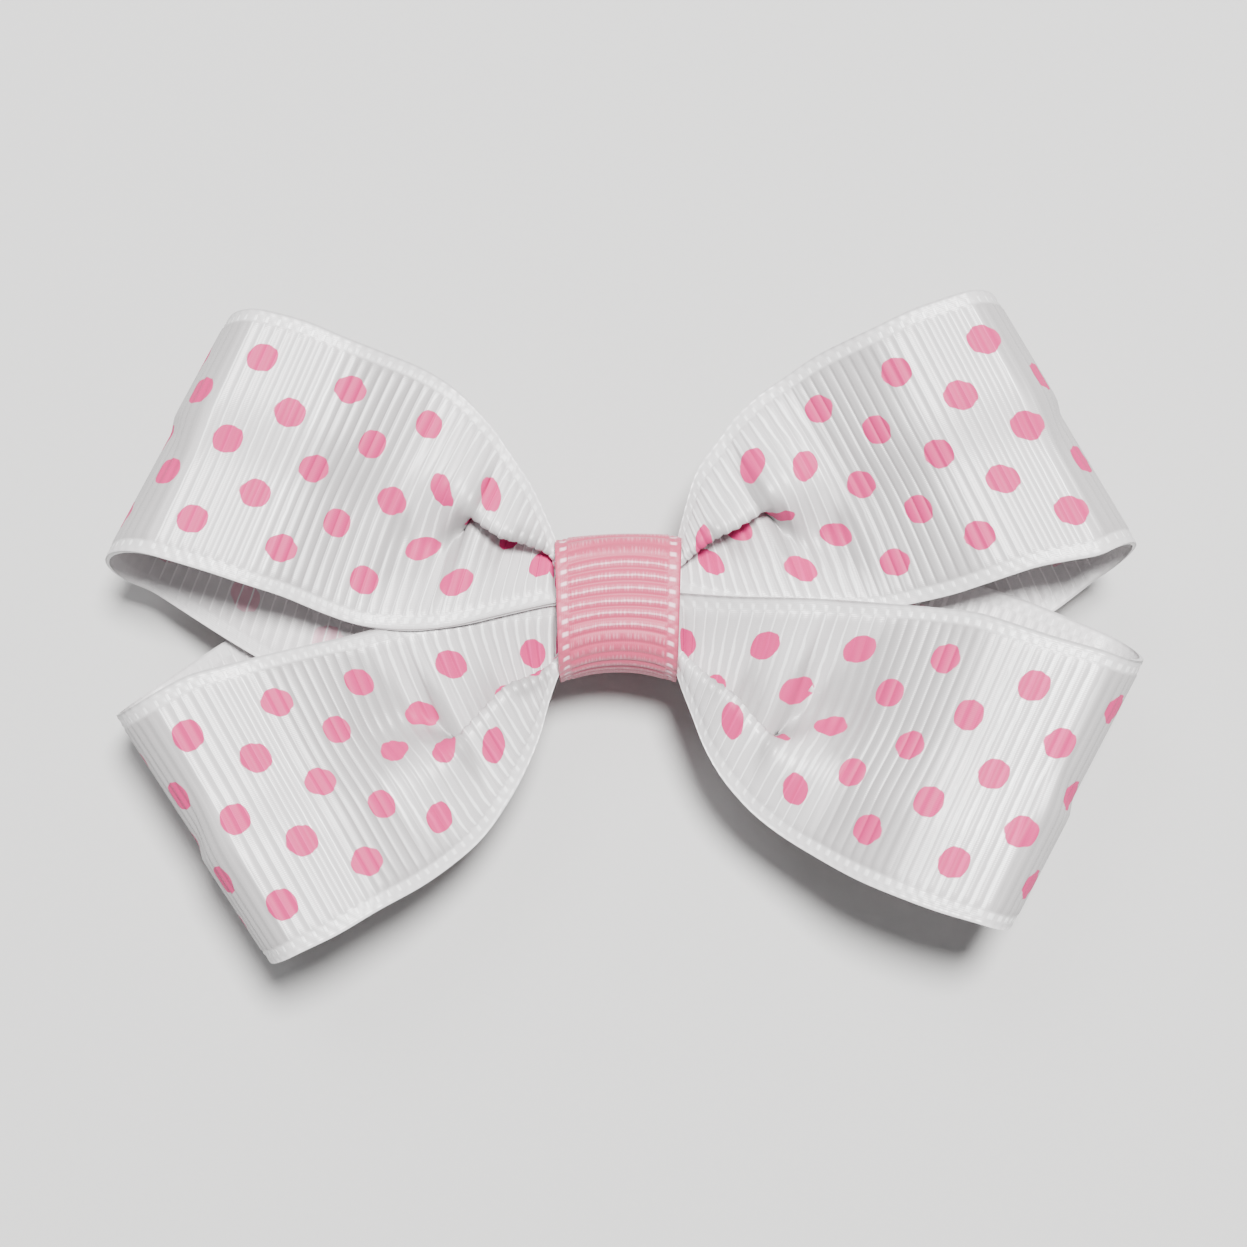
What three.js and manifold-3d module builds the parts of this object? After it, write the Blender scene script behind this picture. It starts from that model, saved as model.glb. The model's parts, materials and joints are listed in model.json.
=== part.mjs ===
// A four-loop grosgrain hair bow on a spring clip. Millimetres, +Z up, front of the bow facing +Z.
// The bow lies face up on its clip. The origin is under the middle of the bow, where the clip rests.
import * as THREE from 'three';
import { mergeVertices } from 'three/addons/utils/BufferGeometryUtils.js';
import Module from 'manifold-3d';

const wasm = await Module();
wasm.setup();

// Driving dimensions
const RIBBON_THICK = 0.5;
const WRAP_WIDTH = 9.4;
const WRAP_THICK = 0.4;
const THREAD_BAND = 2.4;
const THREAD_THICK = 0.34;
const THREAD_BOTTOM_Z = 7.87;
const THREAD_TOP_Z = 12.65;
const THREAD_LOW_Y = -3.1;
const THREAD_HIGH_Y = 5.6;
const THREAD_CORNER = 1.1;
const GLUE_THICK = 0.35;
const SEAM_GLUE_THICK = 0.3;
const SEAM_GLUE_Z = 4.75;
const WAIST_X = -0.4;
const WAIST_Y = 1.25;
const SHEET = 0.6; // steel of the clip
const LINING_GAP = 0.1; // glue line under the clip's lining
const UPPER_ARM_Z = 6.3; // middle of the flat upper arm
const UPPER_ARM_WIDTH = 8.5;
const LOWER_ARM_WIDTH = 6.9;
const ARM_NOSE_X = -21;
const ARM_TAIL_X = 23.5;
const PIVOT_X = 9;
const PIVOT_Z = 3.7;
const PIN_RADIUS = 0.7;
const EAR_THICK = 0.5;
const EAR_HOLE_RADIUS = 1.05;
const EAR_RADIUS = 1.75;
const TOOTH_PITCH = 1.6;
const TOOTH_COUNT = 4;
const TEETH_START_X = -19.6;
const TOOTH_TIP_Z = 5.65;
const TOOTH_ROOT_Z = 4.75;
const COIL_RADIUS = 1.45;
const COIL_TURNS = 4;
const COIL_PITCH = 0.75;
const WIRE_RADIUS = 0.25;

// Height of the middle of each ribbon layer where the wrap holds it, from the clip up
const BACK_UNDER_Z = 8.7;
const FRONT_UNDER_Z = 9.75;
const BACK_TOP_Z = 10.8;
const FRONT_TOP_Z = 11.85;

const ALONG_STEPS = 84;
const ACROSS_STEPS = 4;

const bow = new THREE.Group();

function addPiece(name, geometry, color, roughness, metalness = 0) {
  const material = new THREE.MeshStandardMaterial({ color, roughness, metalness });
  const mesh = new THREE.Mesh(geometry, material);
  mesh.name = name;
  bow.add(mesh);
  return mesh;
}

function toSolid(geometry) {
  const bare = geometry.clone();
  bare.deleteAttribute('normal');
  bare.deleteAttribute('uv');
  const merged = mergeVertices(bare, 1e-4);
  return new wasm.Manifold(new wasm.Mesh({
    numProp: 3,
    vertProperties: new Float32Array(merged.attributes.position.array),
    triVerts: new Uint32Array(merged.index.array),
  }));
}

function toGeometry(solid) {
  const mesh = solid.getMesh();
  const geometry = new THREE.BufferGeometry();
  geometry.setAttribute('position', new THREE.BufferAttribute(mesh.vertProperties, 3));
  geometry.setIndex(new THREE.BufferAttribute(mesh.triVerts, 1));
  geometry.computeVertexNormals();
  return geometry;
}

// The outline of a bent sheet: a centre line of [a, b] points given the sheet's thickness.
function sheetOutline(points, thickness, steps) {
  const line = new THREE.CatmullRomCurve3(
    points.map(([a, b]) => new THREE.Vector3(a, b, 0)), false, 'centripetal');
  const left = [];
  const right = [];
  for (let i = 0; i <= steps; i += 1) {
    const centre = line.getPointAt(i / steps);
    const run = line.getTangentAt(i / steps);
    const side = new THREE.Vector2(-run.y, run.x).multiplyScalar(thickness / 2);
    left.push(new THREE.Vector2(centre.x + side.x, centre.y + side.y));
    right.push(new THREE.Vector2(centre.x - side.x, centre.y - side.y));
  }
  return new THREE.Shape([...right, ...left.reverse()]);
}

// An outline drawn in X and Z, extruded over a width along Y about a middle plane.
function extrudeAlongY(shape, width, middleY) {
  const geometry = new THREE.ExtrudeGeometry(shape, { depth: width, bevelEnabled: false, curveSegments: 10 });
  geometry.rotateX(Math.PI / 2);
  geometry.translate(0, middleY + width / 2, 0);
  return geometry;
}

// An outline drawn in X and Y, extruded upwards from a height.
function extrudeUp(shape, height, bottomZ) {
  const geometry = new THREE.ExtrudeGeometry(shape, { depth: height, bevelEnabled: false, curveSegments: 8 });
  geometry.translate(0, 0, bottomZ);
  return geometry;
}

// An outline drawn in Y and Z, extruded over a width along X about a middle plane.
function extrudeAlongX(shape, width, middleX) {
  const geometry = new THREE.ExtrudeGeometry(shape, { depth: width, bevelEnabled: false, curveSegments: 5 });
  geometry.rotateX(Math.PI / 2);
  geometry.rotateZ(Math.PI / 2);
  geometry.translate(middleX - width / 2, 0, 0);
  return geometry;
}

// A rectangle with round corners, from its lowest to its highest corner.
function roundedFrame(a0, a1, b0, b1, radius) {
  const shape = new THREE.Shape();
  shape.moveTo(a0 + radius, b0);
  shape.absarc(a1 - radius, b0 + radius, radius, -Math.PI / 2, 0, false);
  shape.absarc(a1 - radius, b1 - radius, radius, 0, Math.PI / 2, false);
  shape.absarc(a0 + radius, b1 - radius, radius, Math.PI / 2, Math.PI, false);
  shape.absarc(a0 + radius, b0 + radius, radius, Math.PI, Math.PI * 1.5, false);
  return shape;
}

// A slot-shaped plan with round ends, along X.
function roundEnded(x0, x1, width, noseRadius, tailRadius) {
  const half = width / 2;
  const shape = new THREE.Shape();
  shape.moveTo(x0 + noseRadius, WAIST_Y - half);
  shape.lineTo(x1 - tailRadius, WAIST_Y - half);
  shape.quadraticCurveTo(x1, WAIST_Y - half, x1, WAIST_Y - half + tailRadius);
  shape.lineTo(x1, WAIST_Y + half - tailRadius);
  shape.quadraticCurveTo(x1, WAIST_Y + half, x1 - tailRadius, WAIST_Y + half);
  shape.lineTo(x0 + noseRadius, WAIST_Y + half);
  shape.quadraticCurveTo(x0, WAIST_Y + half, x0, WAIST_Y + half - noseRadius);
  shape.lineTo(x0, WAIST_Y - half + noseRadius);
  shape.quadraticCurveTo(x0, WAIST_Y - half, x0 + noseRadius, WAIST_Y - half);
  return shape;
}

// A closed ribbon strip between two edge lines. Each station is [upper edge, lower edge] in X, Y, Z.
function ribbonStrip(stations) {
  const toCurve = (side) => new THREE.CatmullRomCurve3(
    stations.map((station) => new THREE.Vector3(...station[side])), false, 'centripetal');
  const upper = toCurve(0);
  const lower = toCurve(1);
  const middle = (i, j) => {
    const t = i / ALONG_STEPS;
    return upper.getPoint(t).lerp(lower.getPoint(t), j / ACROSS_STEPS);
  };
  const faceNormal = (i, j) => {
    const along = middle(Math.min(i + 1, ALONG_STEPS), j).sub(middle(Math.max(i - 1, 0), j));
    const across = middle(i, ACROSS_STEPS).sub(middle(i, 0));
    return across.cross(along).normalize();
  };
  const positions = [];
  for (const face of [1, -1]) {
    for (let i = 0; i <= ALONG_STEPS; i += 1) {
      for (let j = 0; j <= ACROSS_STEPS; j += 1) {
        const point = middle(i, j).addScaledVector(faceNormal(i, j), (face * RIBBON_THICK) / 2);
        positions.push(point.x, point.y, point.z);
      }
    }
  }
  const rowLength = ACROSS_STEPS + 1;
  const backStart = (ALONG_STEPS + 1) * rowLength;
  const front = (i, j) => i * rowLength + j;
  const back = (i, j) => backStart + front(i, j);
  const index = [];
  const quad = (a, b, c, d) => index.push(a, b, c, a, c, d);
  for (let i = 0; i < ALONG_STEPS; i += 1) {
    for (let j = 0; j < ACROSS_STEPS; j += 1) {
      quad(front(i, j), front(i, j + 1), front(i + 1, j + 1), front(i + 1, j));
      quad(back(i, j), back(i + 1, j), back(i + 1, j + 1), back(i, j + 1));
    }
    quad(front(i, 0), front(i + 1, 0), back(i + 1, 0), back(i, 0));
    const last = ACROSS_STEPS;
    quad(front(i, last), back(i, last), back(i + 1, last), front(i + 1, last));
  }
  for (let j = 0; j < ACROSS_STEPS; j += 1) {
    quad(front(0, j), back(0, j), back(0, j + 1), front(0, j + 1));
    const end = ALONG_STEPS;
    quad(front(end, j), front(end, j + 1), back(end, j + 1), back(end, j));
  }
  const geometry = new THREE.BufferGeometry();
  geometry.setAttribute('position', new THREE.Float32BufferAttribute(positions, 3));
  geometry.setIndex(index);
  geometry.computeVertexNormals();
  return geometry;
}

function addRibbons() {
  // Front ribbon: from its left end under the waist, out to the upper left loop, back over the waist,
  // out to the lower right loop and back under the waist.
  addPiece('front_ribbon', ribbonStrip([
    [[-0.6, 4.9, FRONT_UNDER_Z], [-0.6, -2.4, FRONT_UNDER_Z]],
    [[-6.0, 5.6, 9.7], [-6.0, -2.6, 9.7]],
    [[-14.5, 12.3, 9.4], [-17.1, -5.1, 9.3]],
    [[-23.2, 18.9, 8.4], [-27.7, -2.6, 8.2]],
    [[-28.9, 23.4, 6.2], [-37.0, 3.5, 6.0]],
    [[-30.5, 23.4, 11.1], [-39.7, 5.2, 10.9]],
    [[-27.4, 23.1, 16.0], [-36.0, 4.7, 15.8]],
    [[-18.4, 20.4, 14.4], [-24.5, 1.1, 14.2]],
    [[-9.7, 14.3, 11.9], [-10.9, 0.2, 11.85]],
    [[-5.0, 5.2, FRONT_TOP_Z], [-5.0, 1.6, FRONT_TOP_Z]],
    [[-0.4, 4.2, FRONT_TOP_Z], [-0.4, -0.8, FRONT_TOP_Z]],
    [[4.2, 2.4, FRONT_TOP_Z], [4.2, -2.7, FRONT_TOP_Z]],
    [[10.9, 1.7, 12.3], [8.0, -12.4, 12.3]],
    [[24.4, 0.7, 14.3], [17.7, -19.9, 14.3]],
    [[36.3, -2.6, 16.2], [26.6, -22.8, 16.2]],
    [[39.6, -3.0, 11.8], [29.5, -23.4, 11.8]],
    [[37.4, -0.3, 7.4], [27.3, -21.8, 7.4]],
    [[27.1, 3.1, 9.0], [18.6, -17.6, 9.0]],
    [[15.0, 5.4, 9.7], [11.5, -10.6, 9.6]],
    [[6.0, 5.4, 9.75], [6.0, -2.6, 9.75]],
    [[0.6, 4.9, FRONT_UNDER_Z], [0.6, -2.4, FRONT_UNDER_Z]],
  ]), 0xeeecef, 0.85);

  // Back ribbon: the same, for the lower left and upper right loops. Each of its layers passes
  // just behind the same layer of the front ribbon.
  addPiece('back_ribbon', ribbonStrip([
    [[-0.6, 4.6, BACK_UNDER_Z], [-0.6, -2.2, BACK_UNDER_Z]],
    [[-6.0, 5.0, 8.6], [-6.0, -2.5, 8.6]],
    [[-16.1, 5.7, 8.2], [-13.6, -14.1, 8.0]],
    [[-26.3, 1.5, 7.0], [-20.6, -20.5, 6.2]],
    [[-36.7, -4.2, 4.8], [-26.0, -24.6, 4.8]],
    [[-38.7, -7.2, 10.3], [-27.0, -25.8, 10.2]],
    [[-35.5, -6.1, 15.8], [-24.3, -25.2, 15.6]],
    [[-23.6, -1.9, 13.4], [-15.5, -20.4, 13.3]],
    [[-12.0, 1.1, 10.6], [-8.4, -12.8, 10.6]],
    [[-5.0, 1.8, BACK_TOP_Z], [-5.0, -2.8, BACK_TOP_Z]],
    [[-0.4, 3.6, BACK_TOP_Z], [-0.4, -1.0, BACK_TOP_Z]],
    [[4.2, 5.2, BACK_TOP_Z], [4.2, 2.0, BACK_TOP_Z]],
    [[6.9, 13.4, 11.1], [11.4, 0.7, 11.0]],
    [[16.9, 21.4, 13.4], [22.3, 1.2, 13.2]],
    [[25.9, 24.3, 15.9], [36.2, 4.7, 15.7]],
    [[28.8, 24.4, 11.1], [39.3, 6.1, 11.0]],
    [[27.0, 24.4, 6.4], [37.4, 4.3, 6.4]],
    [[19.7, 18.4, 7.9], [26.1, -1.3, 7.8]],
    [[12.1, 12.4, 8.5], [15.1, -4.7, 8.5]],
    [[6.0, 5.4, 8.65], [6.0, -2.6, 8.65]],
    [[0.6, 4.6, BACK_UNDER_Z], [0.6, -2.2, BACK_UNDER_Z]],
  ]), 0xe9e7ea, 0.85);
}

// Turns of thread that gather the crossed ribbons, as one band round the bundle.
function addThread() {
  const frame = (inset) => roundedFrame(
    THREAD_LOW_Y + inset, THREAD_HIGH_Y - inset,
    THREAD_BOTTOM_Z + inset, THREAD_TOP_Z - inset, THREAD_CORNER - inset);
  const band = frame(0);
  band.holes.push(frame(THREAD_THICK));
  addPiece('binding_thread', extrudeAlongX(band, THREAD_BAND, WAIST_X), 0xf2eeee, 0.7);
}

// The wrap: a strip of narrow ribbon round the waist and the clip's upper arm, its two ends
// overlapped behind the arm. The centre line is drawn in Y and Z.
function addWrap() {
  const centreLine = [
    [3.4, 5.4], [-2.6, 5.4], [-3.5, 5.75], [-3.76, 6.9], [-3.72, 10.2], [-3.4, 12.1], [-2.2, 12.95],
    [1.25, 13.15], [4.7, 12.95], [5.9, 12.1], [6.22, 10.2], [6.2, 6.4], [5.7, 4.9], [4.4, 4.4], [-1.2, 4.4],
  ];
  const outline = sheetOutline(centreLine, WRAP_THICK, 60);
  addPiece('centre_wrap', extrudeAlongX(outline, WRAP_WIDTH, WAIST_X), 0xdd8a9c, 0.8);
}

// Films of glue: between the bow and the lined clip, and between the wrap's two ends.
function addGlue() {
  const liningTop = UPPER_ARM_Z + SHEET / 2 + LINING_GAP + RIBBON_THICK;
  const pad = roundEnded(WAIST_X - 3.8, WAIST_X + 3.8, 5.6, 1.6, 1.6);
  addPiece('glue_bow_to_clip', extrudeUp(pad, GLUE_THICK, liningTop + 0.12), 0xe6dfcc, 0.35);
  const seam = roundEnded(WAIST_X - 4, WAIST_X + 4, 3.6, 1.2, 1.2);
  addPiece('glue_wrap_seam', extrudeUp(seam, SEAM_GLUE_THICK, SEAM_GLUE_Z), 0xe6dfcc, 0.35);
}

// The clip's flat upper arm with its two ears, and the strip of ribbon glued along its top.
function addUpperArm() {
  const strip = sheetOutline([[ARM_NOSE_X, UPPER_ARM_Z], [ARM_TAIL_X, UPPER_ARM_Z]], SHEET, 1);
  const plan = roundEnded(ARM_NOSE_X, ARM_TAIL_X, UPPER_ARM_WIDTH, 2.6, 3.4);
  const blank = toSolid(extrudeAlongY(strip, UPPER_ARM_WIDTH + 2, WAIST_Y));
  const arm = blank.intersect(toSolid(extrudeUp(plan, 4, UPPER_ARM_Z - 2)));
  const ear = new THREE.Shape();
  ear.moveTo(PIVOT_X - EAR_RADIUS - 0.8, UPPER_ARM_Z);
  ear.lineTo(PIVOT_X - EAR_RADIUS, PIVOT_Z);
  ear.absarc(PIVOT_X, PIVOT_Z, EAR_RADIUS, Math.PI, Math.PI * 2, false);
  ear.lineTo(PIVOT_X + EAR_RADIUS + 0.8, UPPER_ARM_Z);
  addPiece('clip_upper_arm', toGeometry(withEars(arm, ear, UPPER_ARM_WIDTH)), 0xc9cacd, 0.3, 1);

  const liningPlan = roundEnded(ARM_NOSE_X + 1, ARM_TAIL_X - 1.5, UPPER_ARM_WIDTH - 0.3, 2.2, 3);
  const liningBottom = UPPER_ARM_Z + SHEET / 2 + LINING_GAP;
  addPiece('clip_lining', extrudeUp(liningPlan, RIBBON_THICK, liningBottom), 0xdd8a9c, 0.85);
}

// The clip's moving arm: a toothed nose that closes on the upper arm, a belly that makes room for
// the hair and the wrap, two ears on the pin, and a finger lever behind the pin.
function addLowerArm() {
  const sideLine = [
    [ARM_NOSE_X, 5.35], [-19.2, 4.75], [-16, 3.2], [-12, 1.6], [-8, 0.6], [-4, 0.3], [0, 0.45], [4, 0.9],
    [7, 1.2], [9, 1.3], [12, 1.1], [15, 0.55], [17, 0.3], [19, 0.3], [ARM_TAIL_X, 0.3],
  ];
  const strip = extrudeAlongY(sheetOutline(sideLine, SHEET, 44), LOWER_ARM_WIDTH, WAIST_Y);
  const plan = roundEnded(ARM_NOSE_X - 1, ARM_TAIL_X, LOWER_ARM_WIDTH, 2.4, 3);
  let arm = toSolid(strip).intersect(toSolid(extrudeUp(plan, 12, -2)));

  const teeth = new THREE.Shape();
  teeth.moveTo(TEETH_START_X, TOOTH_ROOT_Z - 0.15);
  for (let i = 0; i < TOOTH_COUNT; i += 1) {
    teeth.lineTo(TEETH_START_X + (i + 0.5) * TOOTH_PITCH, TOOTH_TIP_Z);
    teeth.lineTo(TEETH_START_X + (i + 1) * TOOTH_PITCH, TOOTH_ROOT_Z);
  }
  teeth.lineTo(-12.6, 1.9);
  teeth.lineTo(-16, 3.2);
  for (const side of [-1, 1]) {
    const middleY = WAIST_Y + (side * (LOWER_ARM_WIDTH - EAR_THICK)) / 2;
    arm = arm.add(toSolid(extrudeAlongY(teeth, EAR_THICK, middleY)));
  }
  const earRadius = EAR_RADIUS - 0.1;
  const ear = new THREE.Shape();
  ear.moveTo(PIVOT_X + earRadius + 0.9, 1.25);
  ear.lineTo(PIVOT_X + earRadius, PIVOT_Z);
  ear.absarc(PIVOT_X, PIVOT_Z, earRadius, 0, Math.PI, false);
  ear.lineTo(PIVOT_X - earRadius - 0.9, 1.25);
  addPiece('clip_lower_arm', toGeometry(withEars(arm, ear, LOWER_ARM_WIDTH)), 0xc9cacd, 0.3, 1);
}

// Joins a drilled ear to each side of an arm.
function withEars(arm, earShape, armWidth) {
  const hole = new THREE.Path();
  hole.absarc(PIVOT_X, PIVOT_Z, EAR_HOLE_RADIUS, 0, Math.PI * 2, true);
  earShape.holes.push(hole);
  let whole = arm;
  for (const side of [-1, 1]) {
    const middleY = WAIST_Y + (side * (armWidth - EAR_THICK)) / 2;
    whole = whole.add(toSolid(extrudeAlongY(earShape, EAR_THICK, middleY)));
  }
  return whole;
}

// The riveted pin through all four ears.
function addHingePin() {
  const shankEnd = UPPER_ARM_WIDTH / 2 + 0.1;
  const headEnd = shankEnd + 0.4;
  const headRadius = PIN_RADIUS + 0.6;
  const profile = [
    [0, -headEnd], [headRadius, -headEnd], [headRadius, -shankEnd], [PIN_RADIUS, -shankEnd],
    [PIN_RADIUS, shankEnd], [headRadius, shankEnd], [headRadius, headEnd], [0, headEnd],
  ];
  const pin = new THREE.LatheGeometry(profile.map(([r, y]) => new THREE.Vector2(r, y)), 20);
  const mesh = addPiece('hinge_pin', pin, 0xb9babd, 0.35, 1);
  mesh.position.set(PIVOT_X, WAIST_Y, PIVOT_Z);
}

// The torsion spring: a coil round the pin, with one leg under the upper arm's tail and one on the
// lever, that push them apart.
function addTorsionSpring() {
  const stepsPerTurn = 12;
  const steps = (COIL_TURNS + 0.5) * stepsPerTurn;
  const coilLength = COIL_TURNS * COIL_PITCH;
  const startY = WAIST_Y - coilLength / 2;
  const endY = WAIST_Y + coilLength / 2;
  const points = [[16.5, startY, 5.5], [12.5, startY, 5.3]];
  for (let i = 0; i <= steps; i += 1) {
    const angle = (-i / stepsPerTurn) * Math.PI * 2;
    points.push([
      PIVOT_X + COIL_RADIUS * Math.sin(angle),
      startY + (coilLength * i) / steps,
      PIVOT_Z + COIL_RADIUS * Math.cos(angle),
    ]);
  }
  points.push([12.5, endY, 2.1], [16.5, endY, 1.75]);
  const wire = new THREE.CatmullRomCurve3(points.map((point) => new THREE.Vector3(...point)));
  const section = new THREE.Shape();
  section.absarc(0, 0, WIRE_RADIUS, 0, Math.PI * 2, false);
  const spring = new THREE.ExtrudeGeometry(section, { steps: 76, curveSegments: 3, extrudePath: wire });
  addPiece('torsion_spring', spring, 0xa9abb0, 0.3, 1);
}

addRibbons();
addThread();
addWrap();
addGlue();
addUpperArm();
addLowerArm();
addHingePin();
addTorsionSpring();

// Puts the origin under the middle of the whole bow, on the plane that it rests on.
const box = new THREE.Box3().setFromObject(bow);
const middleOfBow = box.getCenter(new THREE.Vector3());
bow.position.set(-middleOfBow.x, -middleOfBow.y, -box.min.z);

export default bow;
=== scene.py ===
"""A four-loop grosgrain hair bow with printed dots, on a spring clip, seen from the front.

Lengths are millimetres until a mesh is made, which is in metres like the frame. The floor, the lights
and the camera are in metres throughout.
"""
import json
import math

import bpy
import numpy as np
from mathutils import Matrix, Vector


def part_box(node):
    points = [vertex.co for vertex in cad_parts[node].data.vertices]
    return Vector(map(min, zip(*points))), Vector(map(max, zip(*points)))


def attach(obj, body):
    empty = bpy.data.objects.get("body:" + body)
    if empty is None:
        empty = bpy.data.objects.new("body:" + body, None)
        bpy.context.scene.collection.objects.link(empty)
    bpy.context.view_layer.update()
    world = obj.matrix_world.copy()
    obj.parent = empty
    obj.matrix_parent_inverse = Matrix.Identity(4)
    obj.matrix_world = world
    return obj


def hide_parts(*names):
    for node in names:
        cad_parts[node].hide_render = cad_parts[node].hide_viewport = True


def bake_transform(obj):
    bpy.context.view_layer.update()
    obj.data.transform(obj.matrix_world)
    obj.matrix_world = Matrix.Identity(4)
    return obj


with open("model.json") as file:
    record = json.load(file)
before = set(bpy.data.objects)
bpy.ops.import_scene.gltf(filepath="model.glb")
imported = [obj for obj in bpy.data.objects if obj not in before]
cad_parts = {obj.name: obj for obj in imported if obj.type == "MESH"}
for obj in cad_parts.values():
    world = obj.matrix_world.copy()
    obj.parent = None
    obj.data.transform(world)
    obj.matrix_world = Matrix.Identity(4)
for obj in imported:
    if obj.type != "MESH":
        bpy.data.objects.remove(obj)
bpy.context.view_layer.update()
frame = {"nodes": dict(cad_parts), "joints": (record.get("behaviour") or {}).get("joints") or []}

MM = 0.001
RIBBON_WIDTH = 22.2
RIBBON_THICK = 0.34
RIB_PITCH = 0.92
# A rib's section: places along one pitch, from a valley, and the height there.
RIB_PLACES = (0.0, 0.1, 0.35, 0.65, 0.9)
RIB_HEIGHTS = (0.0, 0.043, 0.109, 0.109, 0.043)
# The loops' outlines are drawn as seen from this far above EYE_LEVEL.
EYE_DISTANCE = 225.0
EYE_LEVEL = 10.0
EYE_LEAN = 0.105  # and leaning this much towards the lower side
SELVAGE = 1.3
DOT_PITCH = 7.2
DOT_RADIUS = 1.2
FIRST_DOT = 4.0
RIB_BOW = 1.0  # how far the ribs of a gathered loop bow towards its fold
# A pleat's two bends and the stretch turned under between them.
FOLD_TURN = 0.8  # length of ribbon in a bend that is folded flat
SOFT_TURN = 3.4  # and in one that is a soft hollow
LEAST_TURNED = 1.2
TURNED_SHARE = 1.75  # length of hidden ribbon to each millimetre turned under
TURNED_SPARE = 0.2
SHALLOW_PLEAT = 1.5  # a pleat that hides no more ribbon than this is a soft hollow
HIDDEN_PER_ROOM = 1.7  # length of hidden ribbon to each millimetre between the pleat and an edge
EDGE_MARGIN = 0.2
INNER_ALLOWANCE = 2.0  # how far the turned-under part may pass the edge that another layer covers


def box_mm(node):
    """A CAD node's lowest and highest corners, in millimetres."""
    low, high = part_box(node)
    return np.array(low) / MM, np.array(high) / MM


wrap_low, wrap_high = box_mm("centre_wrap")
wrap_middle = (wrap_low + wrap_high) / 2
# The outlines below are drawn about a point by the wrap: this moves them onto the frame's wrap.
OUTLINE_SHIFT = np.array([wrap_middle[0] + 0.40, wrap_middle[1] - 1.245, 0.0])

# ---------------------------------------------------------------- curves and sheets


def at_height(plan, z):
    """Moves a point drawn as seen from above to where it is at its height."""
    rise = z - EYE_LEVEL
    scale = 1 - rise / EYE_DISTANCE
    return np.column_stack([plan[:, 0] * scale, plan[:, 1] * scale - EYE_LEAN * rise, z])


def spline(points, per_span=12):
    """A smooth curve through points, by uniform Catmull-Rom, as a dense list."""
    p = np.asarray(points, float)
    p = np.vstack([2 * p[0] - p[1], p, 2 * p[-1] - p[-2]])
    out = []
    for i in range(1, len(p) - 2):
        for k in range(per_span):
            t = k / per_span
            out.append(0.5 * (2 * p[i] + (p[i + 1] - p[i - 1]) * t
                              + (2 * p[i - 1] - 5 * p[i] + 4 * p[i + 1] - p[i + 2]) * t * t
                              + (3 * p[i] - 3 * p[i + 1] + p[i + 2] - p[i - 1]) * t ** 3))
    out.append(p[-2])
    return np.array(out)


def arc_length(points):
    """Distance along a list of points, from its start."""
    steps = np.linalg.norm(np.diff(points, axis=0), axis=1)
    return np.concatenate([[0.0], np.cumsum(steps)])


def resample(points, fractions):
    """Points at the given fractions of a polyline's length."""
    length = arc_length(points)
    at = np.asarray(fractions) * length[-1]
    return np.stack([np.interp(at, length, points[:, k]) for k in range(points.shape[1])], axis=1)


def smooth_step(x):
    x = np.clip(x, 0.0, 1.0)
    return x * x * (3 - 2 * x)


def soften(values, passes):
    """Evens a list of values along its length, keeping its two ends."""
    out = values.copy()
    for _ in range(passes):
        out[1:-1] = (out[:-2] + 2 * out[1:-1] + out[2:]) / 4
    return out


# How an under layer droops from the waist to its fold, by the fraction of the way.
LEFT_DROOP = ((0.0, 0.0), (0.35, 0.1), (0.7, 0.4), (1.0, 1.0))
RIGHT_DROOP = ((0.0, 0.0), (0.45, 0.1), (0.75, 0.35), (1.0, 1.0))
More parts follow.
